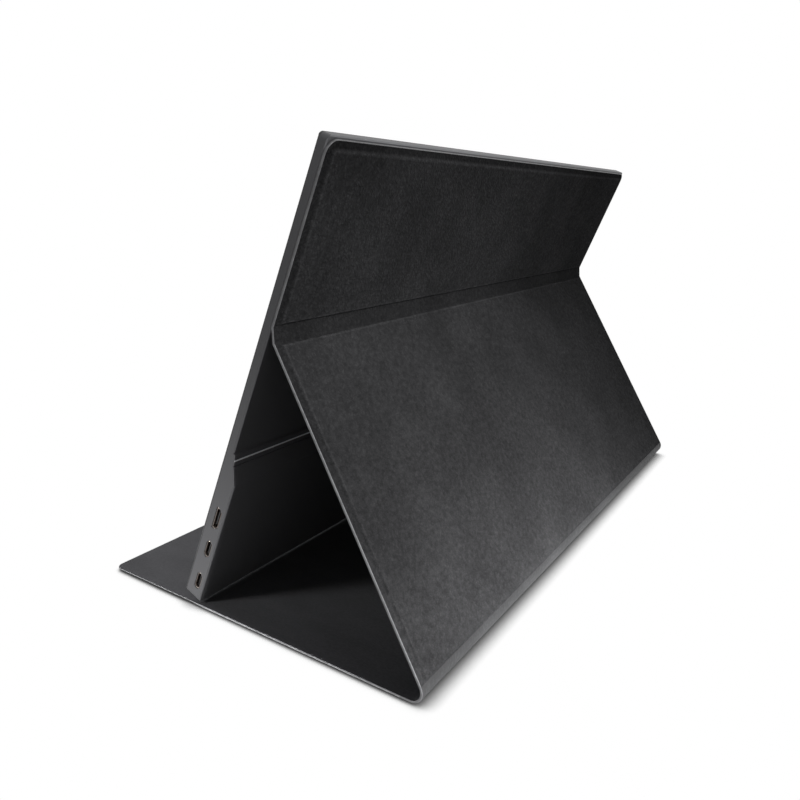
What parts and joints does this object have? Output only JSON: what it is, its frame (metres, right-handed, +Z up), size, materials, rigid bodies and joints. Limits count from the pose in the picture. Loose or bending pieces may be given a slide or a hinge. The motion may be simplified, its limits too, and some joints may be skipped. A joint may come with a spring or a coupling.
{
  "type": "portable monitor with cover",
  "caption": "Slim portable monitor leaning on its folding leather cover, with socket openings in one side and keys in the other.",
  "frame": {"origin": "on the table, at the middle of the footprint", "axes": "+Z up; +X along the width, towards the side with the sockets; the screen faces -Y and leans back towards +Y"},
  "size_m": [0.3566, 0.1862, 0.213],
  "materials": {
    "dark_grey_shell": "anodised dark grey, fine satin",
    "black_bezel": "fine matte moulding",
    "screen_surface": "dark, with a matte anti-glare film",
    "white_film": "diffusing white film",
    "clear_acrylic": "clear, with a printed dot pattern",
    "led_strip": "white strip with yellow emitters",
    "tray_steel": "galvanised sheet",
    "green_board": "solder mask with tracks",
    "chip_black": "moulded epoxy",
    "amber_flex": "polyimide film over copper",
    "bare_aluminium": "rolled sheet",
    "screw_steel": "zinc plated",
    "socket_steel": "satin nickel",
    "socket_plastic": "moulded black",
    "key_plastic": "fine matte moulding",
    "red_wire": "smooth insulation",
    "black_leather": "fine-grained synthetic leather",
    "grey_microfibre": "short brushed nap",
    "fibre_board": "dense grey-brown fibre board",
    "magnet_nickel": "nickel plated"
  },
  "bodies": {
    "base_flap": {"base_skin": "black_leather", "base_board": "fibre_board", "base_lining": "grey_microfibre", "flap_magnets": "magnet_nickel", "spine_strip": "black_leather"},
    "stand_panel": {"stand_skin": "black_leather", "stand_board": "fibre_board", "stand_lining": "grey_microfibre", "crease_strip": "black_leather"},
    "upper_panel": {"upper_skin": "black_leather", "upper_board": "fibre_board", "upper_lining": "grey_microfibre", "cover_magnets": "magnet_nickel"},
    "monitor": {"rear_shell": "dark_grey_shell", "front_bezel": "black_bezel", "lcd_cell": "screen_surface", "optical_films": "white_film", "light_guide": "clear_acrylic", "reflector_sheet": "white_film", "led_bar": "led_strip", "panel_tray": "tray_steel", "timing_board": "green_board", "display_cable": "amber_flex", "main_board": "green_board", "board_chips": "chip_black", "heat_spreader": "bare_aluminium", "board_screws": "screw_steel", "key_board": "green_board", "key_switches": "screw_steel", "key_cable": "amber_flex", "rocker_pin": "screw_steel", "left_speaker": "socket_plastic", "right_speaker": "socket_plastic", "speaker_leads": "red_wire", "attraction_plates": "tray_steel", "usb_c_port_upper": "socket_steel", "usb_c_port_lower": "socket_steel", "mini_hdmi_port": "socket_steel", "headphone_jack": "socket_plastic", "shell_screws": "screw_steel"},
    "power_key": {"power_button": "key_plastic"},
    "menu_key": {"menu_rocker": "key_plastic"}
  },
  "joints": [
    {"name": "spine_fold", "type": "hinge", "parent": "base_flap", "child": "stand_panel", "pos_m": [0, 0.0928, 0.0035], "axis": [-1, 0, 0], "range_deg": [0, 117.5], "deforming": ["spine_strip"]},
    {"name": "crease_fold", "type": "hinge", "parent": "stand_panel", "child": "upper_panel", "pos_m": [0, 0.0208, 0.136], "axis": [1, 0, 0], "range_deg": [0, 47.4], "deforming": ["crease_strip"]},
    {"name": "monitor_pull_off", "type": "slide", "parent": "upper_panel", "child": "monitor", "axis": [0, -0.9232, 0.3843], "range_m": [0, 0.06]},
    {"name": "power_press", "type": "slide", "parent": "monitor", "child": "power_key", "axis": [1, 0, 0], "range_m": [0, 0.00035], "stiffness_N_per_m": 400, "springref_m": -0.0008},
    {"name": "menu_rock", "type": "hinge", "parent": "monitor", "child": "menu_key", "pos_m": [-0.1744, -0.02082, 0.03422], "axis": [0, -0.9232, 0.3843], "range_deg": [-4, 4], "stiffness_Nm_per_rad": 0.02}
  ],
  "couplings": [
    {"joint": "crease_fold", "follows": "spine_fold", "ratio": 0.4034}
  ]
}
